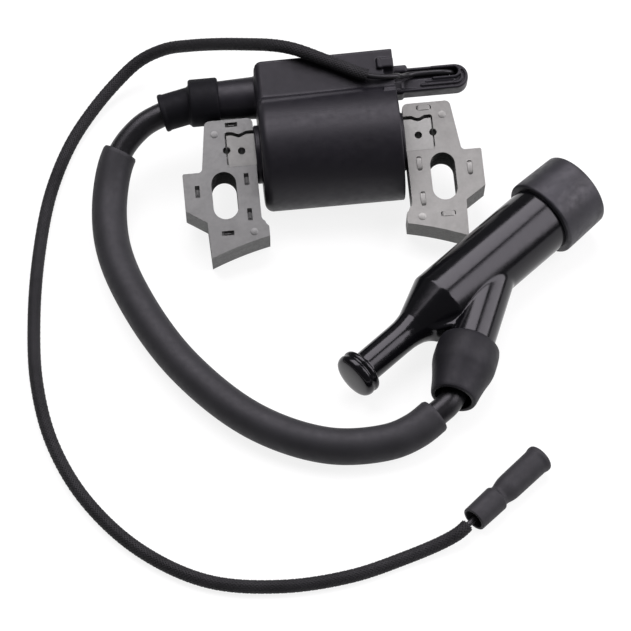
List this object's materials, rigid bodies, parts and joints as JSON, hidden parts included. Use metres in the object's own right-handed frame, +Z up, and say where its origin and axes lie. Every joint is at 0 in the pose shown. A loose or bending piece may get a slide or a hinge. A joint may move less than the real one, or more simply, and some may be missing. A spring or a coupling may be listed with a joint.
{
  "type": "ignition coil",
  "caption": "Small-engine ignition coil on a laminated steel core, with its spark-plug lead and cap and its stop-switch wire.",
  "frame": {"origin": "under the middle of the coil, on the table that it lies on", "axes": "+X along the winding, towards the wire guide arm; +Y away from the flywheel; +Z up"},
  "size_m": [0.1635, 0.1855, 0.0375],
  "materials": {
    "core_steel": "satin",
    "bar_steel": "satin",
    "housing_plastic": "satin",
    "potting_epoxy": "gloss",
    "bobbin_plastic": "matte",
    "winding_copper": "satin",
    "board_laminate": "satin",
    "component_case": "matte",
    "resistor_body": "satin",
    "diode_body": "gloss",
    "brass": "satin",
    "copper_strands": "satin",
    "collar_rubber": "matte",
    "lead_jacket": "satin",
    "sleeve_vinyl": "satin",
    "cap_plastic": "gloss",
    "seal_rubber": "matte",
    "spring_steel": "satin",
    "wire_insulation": "satin",
    "braid_fibre": "matte",
    "tinned_terminal": "satin",
    "insulator_vinyl": "satin"
  },
  "bodies": {
    "coil": {"left_core_leg": "core_steel", "right_core_leg": "core_steel", "core_centre_bar": "bar_steel", "coil_housing": "housing_plastic", "potting_compound": "potting_epoxy", "primary_bobbin": "bobbin_plastic", "primary_winding": "winding_copper", "secondary_bobbin": "bobbin_plastic", "secondary_winding": "winding_copper", "ignition_board": "board_laminate", "switching_transistor": "component_case", "trigger_transistor": "component_case", "board_resistors": "resistor_body", "board_diode": "diode_body", "ht_terminal_pin": "brass", "tower_collar": "collar_rubber", "ht_lead": "lead_jacket", "ht_lead_core": "copper_strands", "lead_protective_sleeve": "sleeve_vinyl", "ground_wire": "wire_insulation", "braided_sleeve": "braid_fibre", "bullet_terminal": "tinned_terminal"},
    "plug_cap": {"plug_cap_body": "cap_plastic", "cap_mouth_seal": "seal_rubber", "cap_lead_boot": "seal_rubber", "plug_terminal_clip": "brass", "junction_contact": "brass", "contact_spring": "spring_steel", "suppressor_resistor": "resistor_body", "lead_screw_terminal": "brass"},
    "insulator": {"connector_insulator": "insulator_vinyl"}
  },
  "joints": [
    {"name": "cap_swivel", "type": "hinge", "parent": "coil", "child": "plug_cap", "pos_m": [0.04605, -0.03788, 0.01114], "axis": [-0.3708, -0.9273, -0.051], "range_deg": [-30, 60]},
    {"name": "insulator_slide", "type": "slide", "parent": "coil", "child": "insulator", "axis": [-0.7501, -0.6613, 0], "range_m": [0, 0.005]}
  ]
}
